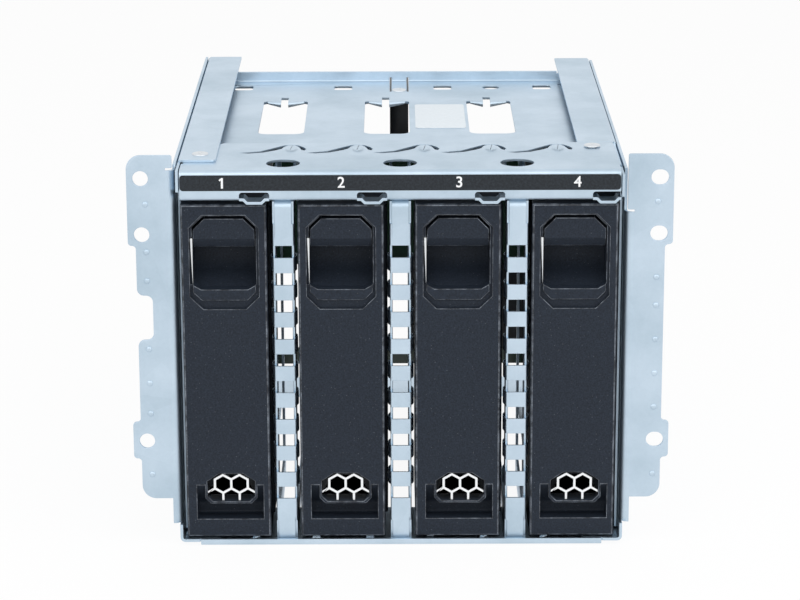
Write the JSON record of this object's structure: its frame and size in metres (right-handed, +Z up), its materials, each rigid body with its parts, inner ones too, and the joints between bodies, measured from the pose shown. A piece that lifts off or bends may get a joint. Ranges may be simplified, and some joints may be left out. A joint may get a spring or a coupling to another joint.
{
  "type": "hot swap drive cage",
  "caption": "Sheet steel cage for upright 3.5 inch drives, with slide-out latched blanks, perforated dividers, bolt-on side flanges and a backplane.",
  "frame": {"origin": "on the underside of the tray, below the middle of the whole part's box", "axes": "+X to the right seen from the front, +Y from the bay fronts to the back, +Z up"},
  "size_m": [0.1674, 0.1722, 0.126],
  "materials": {
    "galvanised_steel": "bright galvanised sheet with a faint cool tint",
    "plated_steel": "smooth zinc plating",
    "spring_steel": "bright rolled spring steel",
    "charcoal_plastic": "finely spark-eroded moulded plastic",
    "black_plastic": "moulded plastic",
    "black_label": "printed satin film",
    "white_label": "bare white label",
    "circuit_board": "green solder mask"
  },
  "bodies": {
    "cage": {"side_plate_left": "galvanised_steel", "side_plate_right": "galvanised_steel", "inner_wall_left": "galvanised_steel", "inner_wall_right": "galvanised_steel", "front_strip": "galvanised_steel", "top_plate": "galvanised_steel", "bottom_tray": "galvanised_steel", "divider_1": "galvanised_steel", "divider_2": "galvanised_steel", "divider_3": "galvanised_steel", "number_label": "black_label", "paper_label": "white_label", "backplane_board": "circuit_board", "power_socket": "black_plastic", "data_socket": "black_plastic", "board_retainer": "black_plastic", "board_screws": "plated_steel", "top_rivets": "plated_steel", "side_rivets_left": "plated_steel", "side_rivets_right": "plated_steel", "drive_socket_1": "black_plastic", "drive_socket_2": "black_plastic", "drive_socket_3": "black_plastic", "drive_socket_4": "black_plastic"},
    "blank_1": {"blank_body_1": "charcoal_plastic", "latch_spring_1": "spring_steel", "vent_grille_1": "plated_steel"},
    "latch_1": {"blank_latch_1": "charcoal_plastic"},
    "blank_2": {"blank_body_2": "charcoal_plastic", "latch_spring_2": "spring_steel", "vent_grille_2": "plated_steel"},
    "latch_2": {"blank_latch_2": "charcoal_plastic"},
    "blank_3": {"blank_body_3": "charcoal_plastic", "latch_spring_3": "spring_steel", "vent_grille_3": "plated_steel"},
    "latch_3": {"blank_latch_3": "charcoal_plastic"},
    "blank_4": {"blank_body_4": "charcoal_plastic", "latch_spring_4": "spring_steel", "vent_grille_4": "plated_steel"},
    "latch_4": {"blank_latch_4": "charcoal_plastic"}
  },
  "joints": [
    {"name": "blank_1_slide", "type": "slide", "parent": "cage", "child": "blank_1", "axis": [0, -1, 0], "range_m": [0, 0.06]},
    {"name": "latch_1_press", "type": "slide", "parent": "blank_1", "child": "latch_1", "axis": [0, 0, -1], "range_m": [0, 0.002], "stiffness_N_per_m": 400, "springref_m": -0.003},
    {"name": "blank_2_slide", "type": "slide", "parent": "cage", "child": "blank_2", "axis": [0, -1, 0], "range_m": [0, 0.06]},
    {"name": "latch_2_press", "type": "slide", "parent": "blank_2", "child": "latch_2", "axis": [0, 0, -1], "range_m": [0, 0.002], "stiffness_N_per_m": 400, "springref_m": -0.003},
    {"name": "blank_3_slide", "type": "slide", "parent": "cage", "child": "blank_3", "axis": [0, -1, 0], "range_m": [0, 0.06]},
    {"name": "latch_3_press", "type": "slide", "parent": "blank_3", "child": "latch_3", "axis": [0, 0, -1], "range_m": [0, 0.002], "stiffness_N_per_m": 400, "springref_m": -0.003},
    {"name": "blank_4_slide", "type": "slide", "parent": "cage", "child": "blank_4", "axis": [0, -1, 0], "range_m": [0, 0.06]},
    {"name": "latch_4_press", "type": "slide", "parent": "blank_4", "child": "latch_4", "axis": [0, 0, -1], "range_m": [0, 0.002], "stiffness_N_per_m": 400, "springref_m": -0.003}
  ]
}
